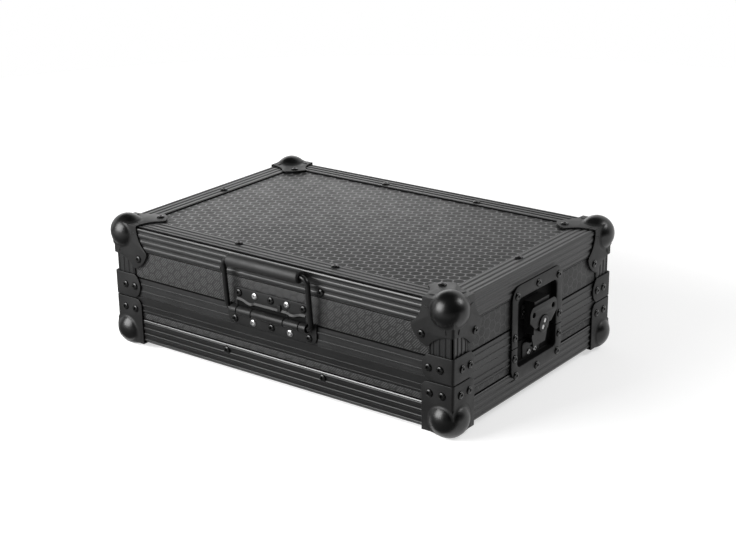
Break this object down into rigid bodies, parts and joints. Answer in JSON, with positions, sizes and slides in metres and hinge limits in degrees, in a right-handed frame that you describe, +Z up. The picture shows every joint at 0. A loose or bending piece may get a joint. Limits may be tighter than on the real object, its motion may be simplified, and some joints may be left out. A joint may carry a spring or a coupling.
{
  "type": "dj controller case",
  "caption": "Shallow black road case for a DJ controller: ribbed edging, ball corners, recessed butterfly latches, sprung bail handle and a lift-off lid.",
  "frame": {"origin": "on the ground, under the middle of the whole object's box, where the corner domes stand", "axes": "+X to the right along the long side, -Y out of the side with the handle, +Z up"},
  "size_m": [0.512, 0.36, 0.1663],
  "materials": {
    "laminated_plywood": "black embossed laminate, satin",
    "edging": "black anodised, satin",
    "hardware": "black powder coat, semi-gloss",
    "handle_grip": "soft black moulding",
    "spring_wire": "bright drawn wire",
    "foam": "matt open-cell foam",
    "bright_rivet": "bright nickel"
  },
  "bodies": {
    "base": {"base_floor_panel": "laminated_plywood", "base_wall_front": "laminated_plywood", "base_wall_right": "laminated_plywood", "base_wall_back": "laminated_plywood", "base_wall_left": "laminated_plywood", "base_edge_front": "edging", "base_edge_right": "edging", "base_edge_back": "edging", "base_edge_left": "edging", "base_rim_front": "edging", "base_rim_right": "edging", "base_rim_back": "edging", "base_rim_left": "edging", "base_corner_front_left": "hardware", "base_corner_front_right": "hardware", "base_corner_back_right": "hardware", "base_corner_back_left": "hardware", "base_foam": "foam", "latch_dish_lower_right": "hardware", "latch_dish_lower_left": "hardware"},
    "lid": {"lid_top_panel": "laminated_plywood", "lid_wall_front": "laminated_plywood", "lid_wall_right": "laminated_plywood", "lid_wall_back": "laminated_plywood", "lid_wall_left": "laminated_plywood", "lid_edge_front": "edging", "lid_edge_right": "edging", "lid_edge_back": "edging", "lid_edge_left": "edging", "lid_rim_front": "edging", "lid_rim_right": "edging", "lid_rim_back": "edging", "lid_rim_left": "edging", "lid_post_front_left": "edging", "lid_post_front_right": "edging", "lid_post_back_right": "edging", "lid_post_back_left": "edging", "lid_ball_front_left": "hardware", "lid_ball_front_right": "hardware", "lid_ball_back_right": "hardware", "lid_ball_back_left": "hardware", "lid_brace_front_left": "hardware", "lid_brace_front_right": "hardware", "lid_brace_back_right": "hardware", "lid_brace_back_left": "hardware", "lid_foam": "foam", "latch_dish_upper_right": "hardware", "latch_dish_upper_left": "hardware", "latch_bracket_right": "hardware", "latch_bracket_left": "hardware", "handle_plate": "hardware", "handle_spring": "spring_wire"},
    "handle": {"handle_bail": "hardware", "handle_grip": "handle_grip"},
    "cam_right": {"latch_cam_right": "hardware"},
    "wing_right": {"latch_wing_right": "hardware"},
    "hook_right": {"latch_hook_right": "hardware"},
    "cam_left": {"latch_cam_left": "hardware"},
    "wing_left": {"latch_wing_left": "hardware"},
    "hook_left": {"latch_hook_left": "hardware"}
  },
  "joints": [
    {"name": "lid_lift", "type": "slide", "parent": "base", "child": "lid", "axis": [0, 0, 1], "range_m": [0, 0.2]},
    {"name": "handle_swing", "type": "hinge", "parent": "lid", "child": "handle", "pos_m": [0, -0.16707, 0.0887], "axis": [1, 0, 0], "range_deg": [0, 85], "stiffness_Nm_per_rad": 0.15, "springref_deg": -28.65},
    {"name": "latch_right_turn", "type": "hinge", "parent": "lid", "child": "cam_right", "pos_m": [0.245, 0.00443, 0.0847], "axis": [1, 0, 0], "range_deg": [0, 180]},
    {"name": "latch_right_flip", "type": "hinge", "parent": "cam_right", "child": "wing_right", "pos_m": [0.254, 0.00443, 0.0847], "axis": [0, 1, 0], "range_deg": [0, 90]},
    {"name": "hook_right_draw", "type": "slide", "parent": "lid", "child": "hook_right", "axis": [0, 0, -1], "range_m": [0, 0.006]},
    {"name": "latch_left_turn", "type": "hinge", "parent": "lid", "child": "cam_left", "pos_m": [-0.245, 0.00443, 0.0847], "axis": [-1, 0, 0], "range_deg": [0, 180]},
    {"name": "latch_left_flip", "type": "hinge", "parent": "cam_left", "child": "wing_left", "pos_m": [-0.254, 0.00443, 0.0847], "axis": [0, -1, 0], "range_deg": [0, 90]},
    {"name": "hook_left_draw", "type": "slide", "parent": "lid", "child": "hook_left", "axis": [0, 0, -1], "range_m": [0, 0.006]}
  ],
  "couplings": [
    {"joint": "hook_right_draw", "follows": "latch_right_turn", "m_per_rad": 0.0019},
    {"joint": "hook_left_draw", "follows": "latch_left_turn", "m_per_rad": 0.0019}
  ]
}
